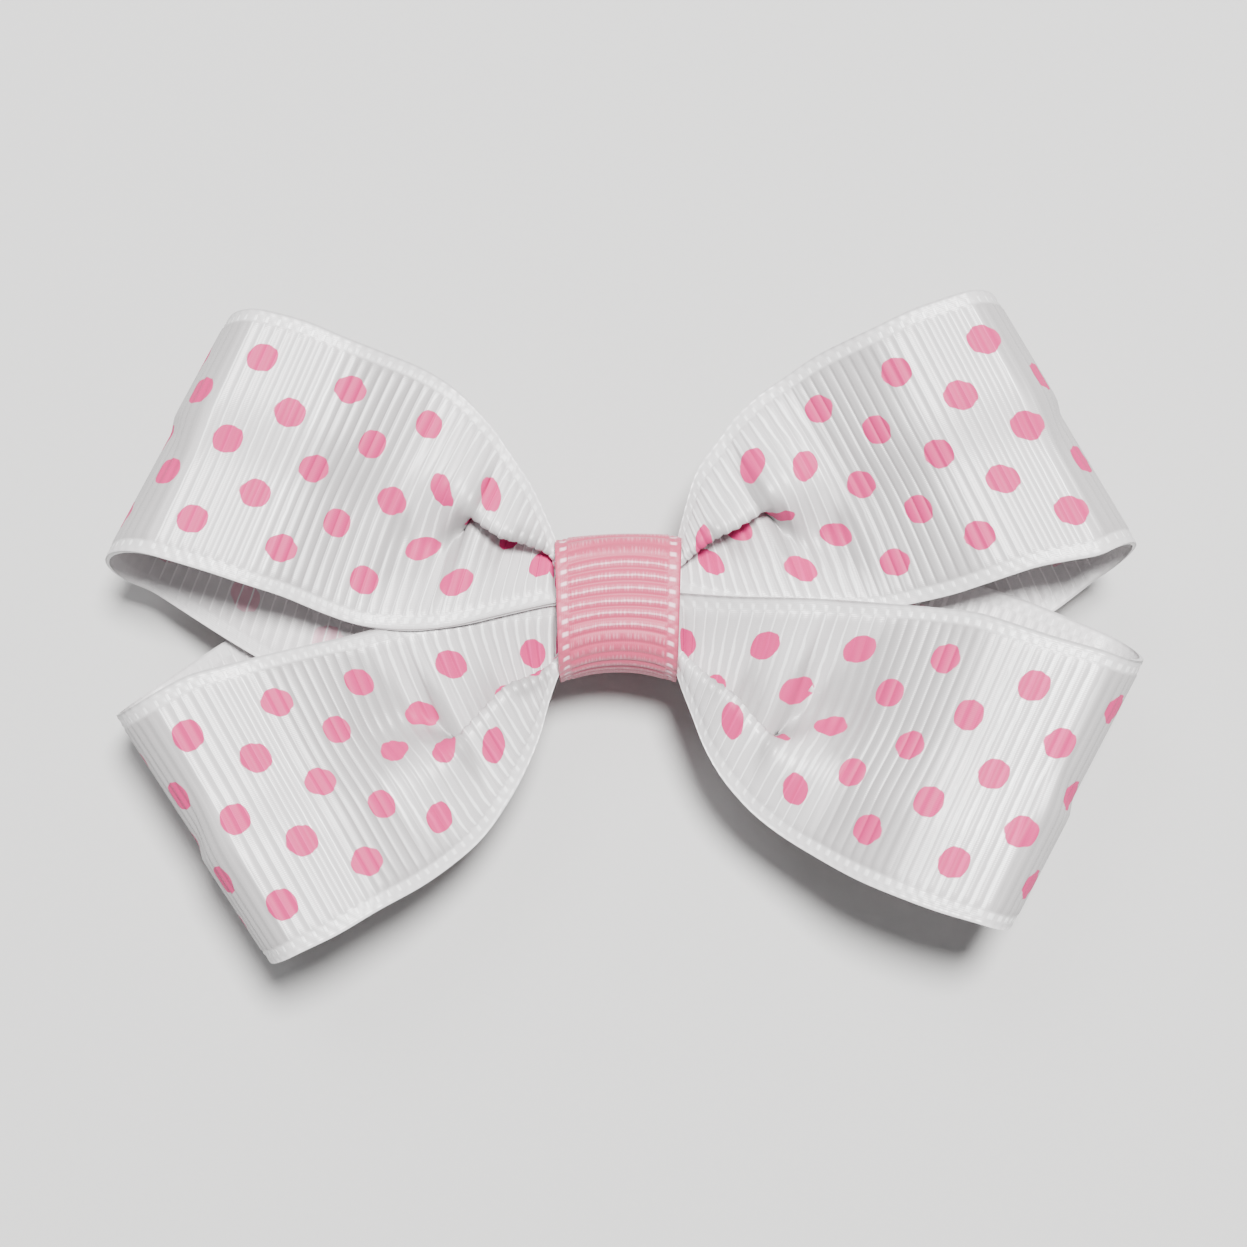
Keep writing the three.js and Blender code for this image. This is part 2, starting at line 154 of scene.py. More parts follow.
# Outlines of the loops from above, from the wrap outwards: "outer" is the edge away from the bow's
# middle line and "inner" the edge next to it. crest, turn and bottom are the places where the ribbon
# leaves the top layer, is furthest out, and joins the under layer, each (outer, inner) with height.
# top_z is the height of the two edges at the waist, and under_z that of the under layer. crease is the
# pleat's place across the ribbon, by the fraction of the way, and pleat_reach how far out it runs.
# dot_phase is the distance from the fold, along the top layer, to a line of dots.
LOOPS = {
    "upper_left": {
        "outer": [(-5.0, 5.3), (-5.5, 6.9), (-6.3, 8.8), (-7.3, 10.9), (-8.5, 12.9), (-9.8, 14.8),
                  (-11.4, 16.7), (-13.3, 18.5), (-15.7, 20.0), (-18.8, 21.3), (-21.8, 22.5),
                  (-24.9, 23.8)],
        "inner": [(-5.0, 1.6), (-6.5, 1.3), (-9.6, 0.6), (-12.6, -0.1), (-15.7, -0.5), (-18.0, -0.45),
                  (-20.6, -0.1), (-23.4, 0.85), (-26.4, 2.1), (-29.5, 3.1), (-32.5, 4.1)],
        "crest": ((-28.3, 24.7, 16.0), (-36.5, 5.3, 15.8)),
        "turn": ((-30.7, 23.7, 11.1), (-40.0, 4.9, 10.9)),
        "bottom": ((-28.3, 22.4, 6.3), (-36.6, 2.6, 6.1)),
        "under_outer": [(-5.4, 5.4), (-9.0, 8.2), (-15.0, 12.8), (-22.0, 18.0)],
        "under_inner": [(-5.4, -2.0), (-9.5, -3.6), (-16.0, -5.4), (-23.5, -5.0), (-29.0, -2.2)],
        "top_z": (11.5, 12.0), "under_z": 9.4, "under_droop": LEFT_DROOP,
        "crease": ((0.0, 0.14), (0.1, 0.33), (0.2, 0.45), (0.4, 0.38), (0.6, 0.36), (1.0, 0.36)),
        "dot_phase": 7.2, "pleat_reach": 0.80,
    },
    "lower_left": {
        "outer": [(-5.0, -3.6), (-5.9, -6.3), (-6.5, -8.6), (-7.7, -11.6), (-9.2, -14.3), (-11.1, -16.8),
                  (-13.4, -18.8), (-15.7, -20.4), (-18.8, -22.1), (-21.8, -23.9)],
        "inner": [(-5.0, 1.8), (-9.0, 1.4), (-13.0, 0.8), (-17.0, 0.1), (-21.0, -0.9), (-24.9, -1.8),
                  (-28.7, -2.7), (-31.4, -3.4), (-33.6, -4.0)],
        "crest": ((-24.7, -25.3, 15.6), (-36.2, -5.4, 15.8)),
        "turn": ((-26.8, -25.9, 10.2), (-38.9, -7.0, 10.3)),
        "bottom": ((-24.6, -24.2, 4.9), (-35.5, -4.6, 4.9)),
        "under_outer": [(-5.4, -2.4), (-9.0, -8.0), (-14.0, -14.5), (-19.5, -20.0)],
        "under_inner": [(-5.4, 4.6), (-10.5, 6.4), (-17.0, 5.6), (-25.0, 2.0), (-30.9, -1.5)],
        "top_z": (10.4, 11.4), "under_z": 8.5, "under_droop": LEFT_DROOP,
        "crease": ((0.0, 0.14), (0.1, 0.33), (0.2, 0.47), (0.4, 0.40), (0.6, 0.38), (1.0, 0.36)),
        "dot_phase": 6.4, "pleat_reach": 1.0,
    },
    "upper_right": {
        "outer": [(4.2, 6.0), (4.8, 8.65), (5.7, 11.7), (6.9, 13.7), (8.4, 15.7), (10.3, 17.7),
                  (12.6, 19.3), (14.9, 20.9), (17.2, 22.1), (19.5, 23.2), (22.6, 24.7)],
        "inner": [(4.2, 2.2), (8.0, 1.4), (12.0, 1.0), (16.0, 0.9), (20.0, 1.1), (24.9, 2.1), (27.2, 2.8),
                  (30.2, 3.8), (32.5, 4.5)],
        "crest": ((26.6, 26.1, 15.9), (37.0, 5.3, 15.7)),
        "turn": ((28.9, 25.3, 11.1), (39.6, 6.0, 11.0)),
        "bottom": ((26.2, 23.6, 6.4), (36.4, 3.3, 6.4)),
        "under_outer": [(4.6, 4.8), (8.5, 9.0), (14.0, 14.0), (20.0, 18.8)],
        "under_inner": [(4.6, -2.2), (9.5, -4.4), (16.0, -5.6), (23.5, -4.4), (30.5, -0.8), (33.5, 1.1)],
        "top_z": (11.1, 11.5), "under_z": 8.5, "under_droop": RIGHT_DROOP,
        "crease": ((0.0, 0.42), (0.1, 0.44), (0.2, 0.48), (0.4, 0.42), (0.6, 0.38), (1.0, 0.36)),
        "dot_phase": 5.7, "pleat_reach": 0.80,
    },
    "lower_right": {
        "outer": [(4.2, -3.7), (4.6, -5.1), (5.4, -7.2), (6.3, -9.6), (7.7, -12.1), (9.6, -14.3),
                  (11.9, -16.2), (14.9, -18.1), (18.0, -19.8), (21.1, -21.1), (24.1, -22.2)],
        "inner": [(4.2, 2.4), (8.8, 2.1), (13.4, 2.0), (17.2, 1.8), (21.1, 1.5), (24.9, 1.15), (27.6, 0.8),
                  (30.2, 0.0), (33.3, -1.0)],
        "crest": ((27.2, -23.1, 16.2), (37.2, -2.1, 16.2)),
        "turn": ((29.4, -23.3, 11.8), (40.0, -2.7, 11.8)),
        "bottom": ((26.9, -21.8, 7.4), (37.0, -0.7, 7.4)),
        "under_outer": [(4.6, -2.4), (8.5, -8.0), (14.0, -13.6), (20.5, -18.6)],
        "under_inner": [(4.6, 4.8), (10.0, 6.0), (17.0, 5.6), (24.5, 3.8), (30.5, 2.0)],
        "top_z": (10.6, 12.0), "under_z": 9.4, "under_droop": RIGHT_DROOP,
        "crease": ((0.0, 0.30), (0.1, 0.34), (0.2, 0.40), (0.4, 0.30), (0.6, 0.30), (1.0, 0.30)),
        "dot_phase": 1.5, "pleat_reach": 0.9,
    },
}
# Ribbon hidden inside the pleat, by the fraction of the way from the wrap to the fold.
PLEAT_DEPTH = ((0.0, 9.0), (0.1, 10.5), (0.2, 9.6), (0.3, 6.2), (0.4, 3.0), (0.5, 1.0), (0.62, 0.0),
               (1.0, 0.0))
UNDER_PLEAT = ((0.0, 0.0), (0.2, 0.0), (0.35, 2.5), (0.45, 2.0), (0.6, 0.0), (1.0, 0.0))
UNDER_CREASE = 0.42
# How a top layer rises from the waist to its crest, by the same fraction.
TOP_RISE = ((0.0, 0.0), (0.04, 0.0), (0.2, 0.05), (0.48, 0.12), (0.60, 0.40), (0.74, 0.86), (0.84, 1.0),
            (0.93, 1.02), (1.0, 1.0))
TOP_STEPS = 60
FOLD_STEPS = 24
UNDER_STEPS = 40
EVENING = 12  # how many times the values along a whole ribbon are evened
# A section's steps across the ribbon, and the search for the bend of its pleat.
SECTION_STEPS = 420
BEND_SEARCHES = 28
GREATEST_BEND = math.pi * 1.25


def table_value(table, x):
    keys, values = zip(*table)
    return np.interp(x, keys, values)


def loop_edges(loop):
    """Both edges of one loop from under the waist round to the top of the waist, outer and inner.
    Returns two lists of points, per point the pleat's depth and its place across, and which point is
    furthest out."""
    edges = []
    fraction = np.linspace(0, 1, TOP_STEPS)
    under_fraction = np.linspace(0, 1, UNDER_STEPS)
    for side, name in enumerate(("outer", "inner")):
        crest, turn, bottom = (np.array(loop[key][side]) for key in ("crest", "turn", "bottom"))
        top_plan = resample(spline(loop[name] + [tuple(crest[:2])]), fraction)
        rise = soften(table_value(TOP_RISE, fraction), 8)
        top_z = loop["top_z"][side] + (crest[2] - loop["top_z"][side]) * rise
        under_plan = resample(spline(loop["under_" + name] + [tuple(bottom[:2])]), under_fraction)
        droop = soften(table_value(loop["under_droop"], under_fraction), 6)
        under_z = loop["under_z"] + (bottom[2] - loop["under_z"]) * droop
        middle = (crest + bottom) / 2
        angle = np.linspace(math.pi, 0, FOLD_STEPS)[1:-1, None]
        fold = middle + (crest - bottom) / 2 * np.cos(angle) + (turn - middle) * np.sin(angle)
        edges.append(np.vstack([at_height(under_plan, under_z), at_height(fold[:, :2], fold[:, 2]),
                                at_height(top_plan, top_z)[::-1]]))
    depth = np.concatenate([table_value(UNDER_PLEAT, under_fraction), np.zeros(FOLD_STEPS - 2),
                            table_value(PLEAT_DEPTH, fraction / loop["pleat_reach"])[::-1]])
    under_place = np.full(UNDER_STEPS + FOLD_STEPS - 2, UNDER_CREASE)
    place = np.concatenate([under_place, table_value(loop["crease"], fraction)[::-1]])
    turn_index = UNDER_STEPS + FOLD_STEPS // 2
    return edges[0], edges[1], depth, place, turn_index


def half_ribbon(name):
    """A loop's edges, with the columns spaced evenly along the ribbon."""
    loop = LOOPS[name]
    outer, inner, depth, place, turn_index = loop_edges(loop)
    along = (arc_length(outer) + arc_length(inner)) / 2
    return {"outer": outer, "inner": inner, "depth": depth, "place": place, "along": along,
            "dot_u": along - along[turn_index] - loop["dot_phase"], "fold": along[turn_index]}


def full_ribbon(left, right):
    """Joins a left loop and a right loop over the waist into one ribbon, from one end under the waist to
    the other. Its first edge is the upper one in plan."""
    a = half_ribbon(left)
    b = half_ribbon(right)
    left_up = left.startswith("upper")
    right_up = right.startswith("upper")
    pairs = []
    for half, up in ((a, left_up), (b, right_up)):
        first, second = (half["outer"], half["inner"]) if up else (half["inner"], half["outer"])
        place = half["place"] if up else 1 - half["place"]
        pairs.append((first, second, place))
    gap = np.linalg.norm((pairs[0][0][-1] + pairs[0][1][-1] - pairs[1][0][-1] - pairs[1][1][-1]) / 2)
    upper = np.vstack([pairs[0][0], pairs[1][0][::-1]])
    lower = np.vstack([pairs[0][1], pairs[1][1][::-1]])
    along = np.concatenate([a["along"], a["along"][-1] + gap + b["along"][-1] - b["along"][::-1]])
    depth = np.concatenate([a["depth"], b["depth"][::-1]])
    place = np.concatenate([pairs[0][2], pairs[1][2][::-1]])
    # The band next to the outer edge overhangs: +1 where that is the upper edge, -1 where the lower.
    sense = np.concatenate([np.full(len(a["along"]), 1.0 if left_up else -1.0),
                            np.full(len(b["along"]), 1.0 if right_up else -1.0)])
    dot_u = np.concatenate([a["dot_u"], -b["dot_u"][::-1]])
    folds = (a["fold"], along[-1] - b["fold"])
    at = rib_columns(along[-1])

    def even(values):
        if values.ndim == 1:
            return np.interp(at, along, values)
        return np.stack([np.interp(at, along, values[:, k]) for k in range(values.shape[1])], axis=1)

    upper, lower = (even(edge) + OUTLINE_SHIFT for edge in (upper, lower))
    for edge in (upper, lower):
        for k in range(3):
            edge[:, k] = soften(edge[:, k], EVENING)
    return {"upper": upper, "lower": lower, "depth": soften(even(depth), EVENING),
            "place": soften(even(place), EVENING), "sense": np.sign(even(sense) + 1e-9),
            "dot_u": even(dot_u), "along": at, "folds": folds, "waist": a["along"][-1] + gap / 2}


def rib_columns(length):
    """Places along a ribbon of that length: a few to each rib."""
    ribs = int(length / RIB_PITCH)
    return np.append((np.arange(ribs)[:, None] + np.array(RIB_PLACES)).ravel() * length / ribs, length)


def across_rows(width, selvage, middle_rows):
    """Places across a ribbon, closer together in the two selvages."""
    edge_rows = np.array((0.0, 0.22, 0.45, 0.7, 0.87)) * selvage
    middle = np.linspace(selvage, width - selvage, middle_rows)
    return np.concatenate([edge_rows, middle, width - edge_rows[::-1]])


def unit(v):
    return v / np.maximum(np.linalg.norm(v, axis=-1, keepdims=True), 1e-9)


def pleated_surface(ribbon, rows):
    """The ribbon's middle surface as an array [column, row, xyz]. Each column's section is a curve that
    bends back and forth at the pleat, solved so that its two ends meet the ribbon's two edges."""
    upper, lower = ribbon["upper"], ribbon["lower"]
    reach = lower - upper
    chord = np.linalg.norm(reach, axis=1)
    across = unit(reach)
    run = unit(np.gradient((upper + lower) / 2, axis=0))
    up = unit(np.cross(across, run))
    flip = ribbon["sense"] < 0
    place = np.where(flip, 1 - ribbon["place"], ribbon["place"])
    # The turned-under part stays inside the ribbon's outer edge.
    to_edge = np.minimum(place * chord, (1 - place) * chord + INNER_ALLOWANCE)
    room = HIDDEN_PER_ROOM * np.maximum(to_edge - EDGE_MARGIN, 0.0)
    hidden = np.minimum(np.clip(ribbon["depth"], 0.0, None), room)
    arc = np.maximum(np.minimum(chord + hidden, RIBBON_WIDTH), chord * 1.00001)
    hidden = arc - chord
    # On the top layers a shallow pleat is a soft hollow, and a deep one is folded flat.
    from_fold = np.minimum(ribbon["along"] - ribbon["folds"][0], ribbon["folds"][1] - ribbon["along"])
    soft = (1 - smooth_step((ribbon["depth"] - SHALLOW_PLEAT) / 3.0)) * smooth_step((from_fold - 1.0) / 4.0)
    turn = (FOLD_TURN + (SOFT_TURN - FOLD_TURN) * soft)[:, None]
    back_length = np.maximum(LEAST_TURNED + SOFT_TURN * soft, hidden / TURNED_SHARE + TURNED_SPARE)
    fine = np.linspace(0, 1, SECTION_STEPS)
    v = fine[None, :] * arc[:, None]
    start = (place * chord)[:, None]
    end = start + back_length[:, None]
    lift = smooth_step((v - start + turn / 2) / turn) - smooth_step((v - end + turn / 2) / turn)
    low = np.zeros(len(arc))
    high = np.full(len(arc), GREATEST_BEND)
    step = arc / (len(fine) - 1)
    for _ in range(BEND_SEARCHES):
        bend = (low + high) / 2
        angle = -bend[:, None] * lift
        width = np.hypot((np.cos(angle).sum(1)) * step, (np.sin(angle).sum(1)) * step)
        too_wide = width > chord
        low = np.where(too_wide, bend, low)
        high = np.where(too_wide, high, bend)
    angle = -bend[:, None] * lift
    a = np.cumsum(np.cos(angle), axis=1) * step[:, None]
    h = np.cumsum(np.sin(angle), axis=1) * step[:, None]
    a -= a[:, :1]
    h -= h[:, :1]
    tilt = np.arctan2(h[:, -1], a[:, -1])
    size = chord / np.hypot(a[:, -1], h[:, -1])
    cos_t, sin_t = np.cos(tilt)[:, None], np.sin(tilt)[:, None]
    a, h = size[:, None] * (a * cos_t + h * sin_t), size[:, None] * (h * cos_t - a * sin_t)
    # Both outer bands keep their true width, and the turned-under part takes up the rest of the ribbon.
    pleated = smooth_step(hidden / SHALLOW_PLEAT)
    surface = np.empty((len(arc), len(rows), 3))
    for i in range(len(arc)):
        place_v = RIBBON_WIDTH - rows if flip[i] else rows
        first, last = start[i, 0], arc[i] - end[i, 0]
        spread = RIBBON_WIDTH / arc[i]
        turned_v = [0, first + (1 - pleated[i]) * first * (spread - 1),
                    RIBBON_WIDTH - last - (1 - pleated[i]) * last * (spread - 1), RIBBON_WIDTH]
        at = np.interp(place_v, turned_v, [0, start[i, 0], end[i, 0], arc[i]]) / arc[i]
        ai = np.interp(at, fine, a[i])
        hi = np.interp(at, fine, h[i])
        if flip[i]:
            ai = chord[i] - ai
        surface[i] = upper[i] + ai[:, None] * across[i] + hi[:, None] * up[i]
    return surface


def curve_ribs(surface, along, folds, waist):
    """Lets the ribs of a gathered loop bow towards its fold, most in the middle of the ribbon's width."""
    bow = np.sin(np.linspace(0, math.pi, surface.shape[1]))
    shift = np.zeros(len(along))
    for fold in folds:
        t = np.clip((along - waist) / (fold - waist), 0, 1)
        window = smooth_step((t - 0.02) / 0.15) * (1 - smooth_step((t - 0.42) / 0.36))
        shift += RIB_BOW * window * math.copysign(1, fold - waist)
    out = surface.copy()
    for j in range(surface.shape[1]):
        for k in range(3):
            out[:, j, k] = np.interp(along + shift * bow[j], along, surface[:, j, k])
    return out


def surface_normals(surface):
    along = np.gradient(surface, axis=0)
    across = np.gradient(surface, axis=1)
    return unit(np.cross(across, along))


def level_run(surface):
    """How level the ribbon runs at each place, for the painted glint on the crests of its ribs and the
    painted shade where it slopes.
    """
    slope = unit(np.gradient(surface, axis=0))[..., 2]
    level = np.sqrt(np.clip(1 - slope ** 2, 0, 1))
    for _ in range(6):
        level[1:-1] = (level[:-2] + level[1:-1] + level[2:]) / 3
        level[:, 1:-1] = (level[:, :-2] + level[:, 1:-1] + level[:, 2:]) / 3
    return np.repeat(level[..., None], 3, axis=2)


def sheet_mesh(name, surface, normals, thickness, relief, materials, layers):
    """A closed sheet from a grid of points: an outer face with relief, an inner face, and a rim.
    layers maps an attribute's name to its values on the grid."""
    n, m = surface.shape[:2]
    outer = surface + normals * (thickness / 2 + relief)[..., None]
    inner = surface - normals * (thickness / 2 + 0.6 * relief)[..., None]
    points = np.concatenate([outer.reshape(-1, 3), inner.reshape(-1, 3)]) * MM
    index = np.arange(n * m).reshape(n, m)
    a, b, c, d = index[:-1, :-1], index[:-1, 1:], index[1:, 1:], index[1:, :-1]
    front = np.stack([a, b, c, d], axis=-1).reshape(-1, 4)
    back = np.stack([a, d, c, b], axis=-1).reshape(-1, 4) + n * m

    def rim(line):
        return np.stack([line[1:], line[:-1], line[:-1] + n * m, line[1:] + n * m], axis=-1)

    loop = np.concatenate([index[0, ::-1], index[1:, 0], index[-1, 1:], index[-2::-1, -1]])
    border = rim(loop)
    faces = np.concatenate([front, back, border])
    mesh = bpy.data.meshes.new(name)
    mesh.vertices.add(len(points))
    mesh.vertices.foreach_set("co", points.ravel())
    mesh.loops.add(faces.size)
    mesh.loops.foreach_set("vertex_index", faces.ravel())
    mesh.polygons.add(len(faces))
    mesh.polygons.foreach_set("loop_start", np.arange(0, faces.size, 4))
    slots = np.concatenate([np.zeros(len(front), int), np.ones(len(back), int), np.ones(len(border), int)])
    for material in materials:
        mesh.materials.append(material)
    mesh.polygons.foreach_set("material_index", slots)
    mesh.polygons.foreach_set("use_smooth", np.ones(len(faces), bool))
    for layer, values in layers.items():
        attribute = mesh.attributes.new(layer, "FLOAT_VECTOR", "POINT")
        attribute.data.foreach_set("vector", np.concatenate([values.reshape(-1, 3)] * 2).ravel())
    mesh.update()
    mesh.validate()
    piece = bpy.data.objects.new(name, mesh)
    bpy.context.collection.objects.link(piece)
    return piece


def rib_relief(columns, rows, width, selvage, height=1.0):
    """Height of the woven relief on a grid: ribs across the ribbon, and two lines of small knots in each
    selvage, each line half a rib from the other."""
    step = np.arange(columns)[:, None] % len(RIB_PLACES)
    rib = np.array(RIB_HEIGHTS)[step] * height
    from_edge = np.minimum(rows, width - rows)[None, :]
    inside = smooth_step((from_edge - selvage * 0.8) / (selvage * 0.2))
    crest = np.array(RIB_HEIGHTS)[step] - 0.05
    outer_line = np.exp(-((from_edge - selvage * 0.22) / 0.22) ** 2)
    inner_line = np.exp(-((from_edge - selvage * 0.7) / 0.22) ** 2)
    knots = 0.9 * crest * outer_line + (0.03 - 0.9 * crest) * inner_line
    return rib * inside + height * knots * (1 - inside)


# ---------------------------------------------------------------- materials


class Nodes:
    """A material with short calls for its nodes."""

    def __init__(self, name):
        self.material = bpy.data.materials.new(name)
        self.material.use_nodes = True
        self.tree = self.material.node_tree
        self.shader = self.tree.nodes["Principled BSDF"]

    def add(self, kind, **settings):
        node = self.tree.nodes.new(kind)
        for key, value in settings.items():
            setattr(node, key, value)
        return node

    def put(self, value, socket):
        if isinstance(value, (int, float, tuple)):
            socket.default_value = value
        else:
            self.tree.links.new(value, socket)

    def math(self, operation, a, b=0.0, c=0.0, clamp=False):
        node = self.add("ShaderNodeMath", operation=operation, use_clamp=clamp)
        for value, socket in zip((a, b, c), node.inputs):
            self.put(value, socket)
        return node.outputs[0]

    def ramp(self, value, low, high, to_low=0.0, to_high=1.0):
        node = self.add("ShaderNodeMapRange", interpolation_type="SMOOTHSTEP")
        for item, socket in zip((value, low, high, to_low, to_high), node.inputs):
            self.put(item, socket)
        return node.outputs[0]

    def mix(self, factor, a, b):
        node = self.add("ShaderNodeMix", data_type="RGBA")
        self.put(factor, node.inputs["Factor"])
        self.put(a, node.inputs[6])
        self.put(b, node.inputs[7])
        return node.outputs[2]

    def noise(self, vector, scale, detail=2.0, roughness=0.5):
        node = self.add("ShaderNodeTexNoise")
        self.put(vector, node.inputs["Vector"])
        node.inputs["Scale"].default_value = scale
        node.inputs["Detail"].default_value = detail
        node.inputs["Roughness"].default_value = roughness
        return node.outputs["Fac"]

    def scaled(self, vector, factors):
        node = self.add("ShaderNodeVectorMath", operation="MULTIPLY")
        self.put(vector, node.inputs[0])
        node.inputs[1].default_value = factors
        return node.outputs[0]

    def bump(self, height, distance, strength=1.0):
        node = self.add("ShaderNodeBump")
        node.inputs["Strength"].default_value = strength
        node.inputs["Distance"].default_value = distance
        self.put(height, node.inputs["Height"])
        return node.outputs["Normal"]

    def weave_place(self):
        """The ribbon's own coordinates in millimetres: along, across, along from the fold."""
        attribute = self.add("ShaderNodeAttribute", attribute_name="weave")
        parts = self.add("ShaderNodeSeparateXYZ")
        self.put(attribute.outputs["Vector"], parts.inputs[0])
        return attribute.outputs["Vector"], parts.outputs[0], parts.outputs[1], parts.outputs[2]


def rib_crest_glints(n, weave, along, across, width, selvage):
    """The painted glint on the crest of each rib, 1 there and 0 between, fading out in the selvages and
    where the ribbon slopes; the selvage's mask and its knots; and how level the ribbon runs, which also
    sets the painted shade on slopes."""
    waver = n.math("MULTIPLY", n.math("SUBTRACT", n.noise(weave, 0.7, 3.0), 0.5), 0.16)
    from_valley = n.math("PINGPONG", n.math("ADD", along, waver), RIB_PITCH / 2)
    level = n.add("ShaderNodeSeparateXYZ")
    n.put(n.add("ShaderNodeAttribute", attribute_name="painted_glint_level").outputs["Vector"], level.inputs[0])
    # glint is 1 where the ribbon runs level and low where it slopes: it sets the painted glint on the rib
    # crests and the painted shade on slopes.
    glint = n.ramp(level.outputs[0], 0.925, 0.99, 0.06, 1.0)
    ridge = n.math("MULTIPLY", n.ramp(from_valley, RIB_PITCH * 0.36, RIB_PITCH * 0.45), glint)
    from_edge = n.math("MINIMUM", across, n.math("SUBTRACT", width, across))
    inside = n.ramp(from_edge, selvage * 0.75, selvage * 1.0)
    from_knots = n.math("ABSOLUTE", n.math("SUBTRACT", from_edge, selvage * 0.60))
    knot_line = n.ramp(from_knots, 0.12, 0.34, 1.0, 0.0)
    knots = n.math("MULTIPLY", knot_line, n.ramp(from_valley, RIB_PITCH * 0.26, RIB_PITCH * 0.42))
    return n.math("MULTIPLY", ridge, inside), inside, knots, glint


def thread_height(n, across, lines, knots):
    """Fine relief: the warp threads that run along the ribbon over its ribs."""
    thread = n.math("PINGPONG", across, 0.075)
    fine = n.math("MULTIPLY", thread, 2.2)
    total = n.math("ADD", n.math("MULTIPLY", lines, 0.5), fine)
    return n.math("ADD", total, n.math("MULTIPLY", knots, 0.6))


def dot_mask(n, across, dot_u, weave):
    """1 inside the printed dots: two square lattices, half a pitch apart."""
    wobble = n.math("MULTIPLY", n.math("SUBTRACT", n.noise(weave, 2.4, 2.0), 0.5), 0.09)

    def from_line(value, shift):
        within = n.math("FLOORED_MODULO", n.math("ADD", value, DOT_PITCH / 2 + shift), DOT_PITCH)
        return n.math("SUBTRACT", within, DOT_PITCH / 2)

    def lattice(u_shift, v_shift):
        u = from_line(dot_u, u_shift)
        v = from_line(across, -v_shift)
        squares = n.math("ADD", n.math("MULTIPLY", u, u), n.math("MULTIPLY", v, v))
        return n.math("ADD", n.math("SQRT", squares), wobble)

    first = lattice(0.0, FIRST_DOT)
    second = lattice(DOT_PITCH / 2, FIRST_DOT + DOT_PITCH / 2)
    near_edge = n.math("ABSOLUTE", n.math("SUBTRACT", across, RIBBON_WIDTH / 2))
    second = n.math("ADD", second, n.ramp(near_edge, 7.5, 8.0, 0.0, 5.0))
    distance = n.math("MINIMUM", first, second)
    return n.ramp(distance, DOT_RADIUS - 0.05, DOT_RADIUS + 0.05, 1.0, 0.0)


WHITE_VALLEY = (0.61, 0.59, 0.597, 1)
# Painted shade: the white made darker where the ribbon slopes.
PAINTED_SLOPE_SHADE = (0.41, 0.395, 0.398, 1)
# Painted glint: white on the crests of the ribs where the ribbon runs level, and on the selvage knots.
PAINTED_GLINT_WHITE = (1.0, 1.0, 1.0, 1)
WHITE_SELVAGE = (0.69, 0.675, 0.68, 1)
# Painted glint on the rib crests of the unprinted face, dimmer than on the front.
PAINTED_BACK_GLINT = (0.80, 0.775, 0.78, 1)
FADED_WHITE = (0.52, 0.505, 0.51, 1)
DOT_PINK = (0.66, 0.048, 0.205, 1)
DOT_VALLEY = (0.57, 0.036, 0.165, 1)
WRAP_VALLEY = (0.53, 0.06, 0.135, 1)
# Painted glint: light pink on the wrap's rib crests and in broken strokes between them.
PAINTED_WRAP_GLINT = (0.96, 0.52, 0.62, 1)
WRAP_SELVAGE = (0.54, 0.075, 0.15, 1)
# Painted glint on the knots in the wrap's selvages.
PAINTED_WRAP_KNOT_GLINT = (0.98, 0.60, 0.69, 1)


def printed_ribbon_material():
    n = Nodes("printed_grosgrain")
    weave, along, across, dot_u = n.weave_place()
    lines, inside, knots, glint = rib_crest_glints(n, weave, along, across, RIBBON_WIDTH, SELVAGE)
    # Painted light: glints on the level rib crests, and painted shade where the ribbon slopes.
    ground = n.mix(lines, n.mix(glint, PAINTED_SLOPE_SHADE, WHITE_VALLEY), PAINTED_GLINT_WHITE)
    ground = n.mix(inside, WHITE_SELVAGE, ground)
    # Painted glint on the selvage knots.
    ground = n.mix(knots, ground, PAINTED_GLINT_WHITE)
    tone = n.noise(n.scaled(weave, (0.25, 0.25, 0.0)), 1.0, 3.0)
    ground = n.mix(n.ramp(tone, 0.3, 0.7, 0.0, 0.12), ground, FADED_WHITE)
    dots = dot_mask(n, across, dot_u, weave)
    # The dots' ink is painted lighter on the level rib crests: a painted glint.
    ink_with_glint = n.mix(lines, DOT_VALLEY, DOT_PINK)
    n.put(n.mix(dots, ground, ink_with_glint), n.shader.inputs["Base Color"])
    n.put(n.ramp(dots, 0.0, 1.0, 0.38, 0.55), n.shader.inputs["Roughness"])
    n.put(n.ramp(dots, 0.0, 1.0, 0.9, 0.3), n.shader.inputs["Specular IOR Level"])
    n.put(n.bump(thread_height(n, across, lines, knots), 0.03 * MM), n.shader.inputs["Normal"])
    return n.material


def ribbon_back_material():
    """The unprinted face: the print shows through faintly, in stripes between the ribs."""
    n = Nodes("grosgrain_back")
    weave, along, across, dot_u = n.weave_place()
    lines, inside, knots, _ = rib_crest_glints(n, weave, along, across, RIBBON_WIDTH, SELVAGE)
    # The rib crests are painted lighter here: a painted glint.
    ground = n.mix(lines, WHITE_VALLEY, PAINTED_BACK_GLINT)
    ground = n.mix(inside, WHITE_SELVAGE, ground)
    dots = dot_mask(n, across, dot_u, weave)
    between = n.math("SUBTRACT", 1.0, lines)
    ghost = n.math("MULTIPLY", n.math("MULTIPLY", dots, between), 0.38)
    n.put(n.mix(ghost, ground, DOT_PINK), n.shader.inputs["Base Color"])
    n.put(n.bump(thread_height(n, across, lines, knots), 0.03 * MM), n.shader.inputs["Normal"])
    n.shader.inputs["Roughness"].default_value = 0.42
    n.shader.inputs["Specular IOR Level"].default_value = 0.8
    return n.material


